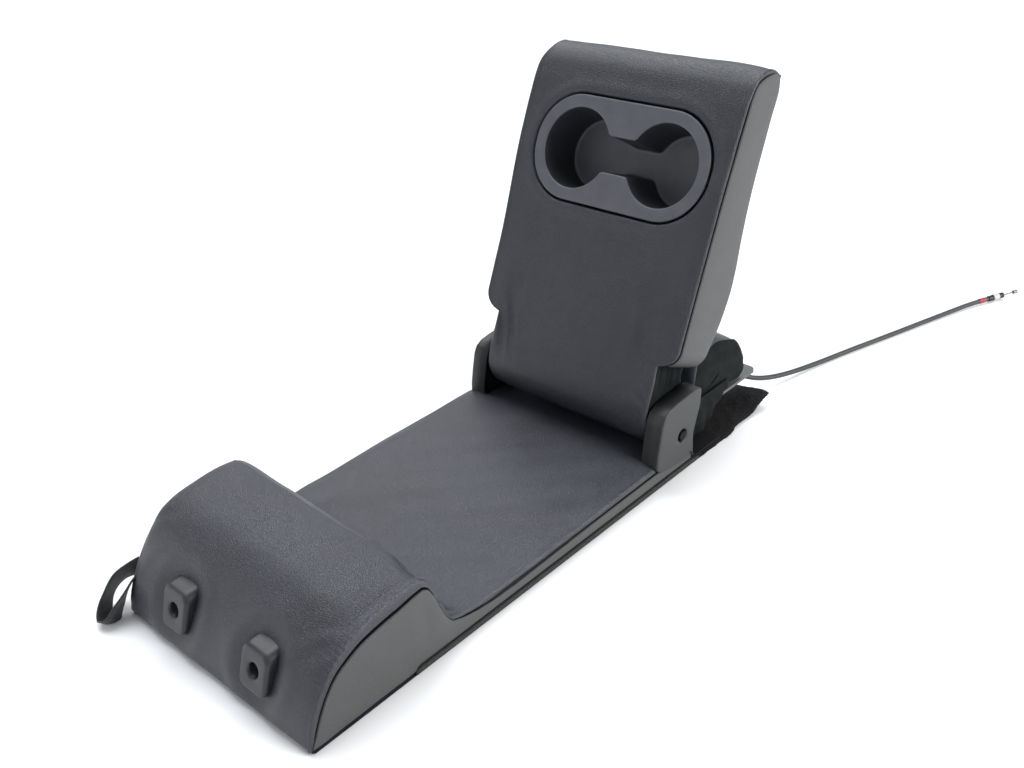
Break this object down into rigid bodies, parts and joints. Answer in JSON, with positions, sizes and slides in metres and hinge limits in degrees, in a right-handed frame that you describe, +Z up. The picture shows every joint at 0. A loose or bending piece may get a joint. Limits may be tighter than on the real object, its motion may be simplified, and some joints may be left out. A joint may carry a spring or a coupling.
{
  "type": "rear seat armrest",
  "caption": "Centre section of a rear seat back with a fold-down armrest, twin cup holder, headrest guides, pull strap and release cable.",
  "frame": {"origin": "middle of the carpeted back face that the part lies on", "axes": "+X across the seat to the cable's side, +Y from the headrest end to the hinge end, +Z up from the back face"},
  "size_m": [0.3937, 1.0768, 0.3693],
  "materials": {
    "leather": "fine-grained charcoal leather, satin",
    "foam": "moulded polyurethane foam",
    "cloth": "thin dark backing cloth",
    "felt": "black needle felt",
    "webbing": "black woven webbing",
    "moulding": "fine-spark matt moulding",
    "hinge_plastic": "matt grained moulding",
    "painted_steel": "black dip paint",
    "plated_steel": "zinc plate",
    "bush_plastic": "natural acetal",
    "cable_sheath": "grey extruded sheath",
    "cable_black": "black moulding",
    "cable_white": "white moulding",
    "cable_red": "red band"
  },
  "bodies": {
    "seatback": {"seat_cover": "leather", "side_panel_left": "leather", "side_panel_right": "leather", "seat_foam": "foam", "back_pan": "painted_steel", "carpet_back": "felt", "headrest_beam": "painted_steel", "headrest_tube_left": "painted_steel", "headrest_tube_right": "painted_steel", "headrest_guide_left": "moulding", "headrest_guide_right": "moulding", "hinge_bracket_left": "painted_steel", "hinge_bracket_right": "painted_steel", "pivot_bolt_left": "plated_steel", "pivot_bolt_right": "plated_steel", "hinge_cover_left": "hinge_plastic", "hinge_cover_right": "hinge_plastic", "cover_screws": "plated_steel", "lower_cover": "leather", "lower_side_left": "cloth", "lower_side_right": "cloth", "lower_foam": "foam", "tail_flap": "hinge_plastic", "pivot_tube": "painted_steel", "lower_stay_left": "painted_steel", "lower_stay_right": "painted_steel", "lower_skirt_left": "cloth", "lower_skirt_right": "cloth", "pull_strap": "webbing", "release_cable": "cable_sheath", "cable_gland": "cable_black", "cable_mark": "cable_red", "cable_ferrule": "cable_black", "ferrule_collar": "cable_white"},
    "armrest": {"armrest_cover": "leather", "armrest_side_left": "leather", "armrest_side_right": "leather", "neck_cloth_left": "cloth", "neck_cloth_right": "cloth", "armrest_foam": "foam", "armrest_frame": "painted_steel", "pivot_bush_left": "bush_plastic", "pivot_bush_right": "bush_plastic", "stop_pin_left": "plated_steel", "stop_pin_right": "plated_steel", "cup_holder": "moulding"},
    "release_wire": {"release_wire": "plated_steel"}
  },
  "joints": [
    {"name": "armrest_fold", "type": "hinge", "parent": "seatback", "child": "armrest", "pos_m": [0, 0.226, 0.066], "axis": [1, 0, 0], "range_deg": [0, 114]},
    {"name": "wire_pull", "type": "slide", "parent": "seatback", "child": "release_wire", "axis": [0.4471, 0.8942, 0.0203], "range_m": [0, 0.012], "stiffness_N_per_m": 300}
  ]
}
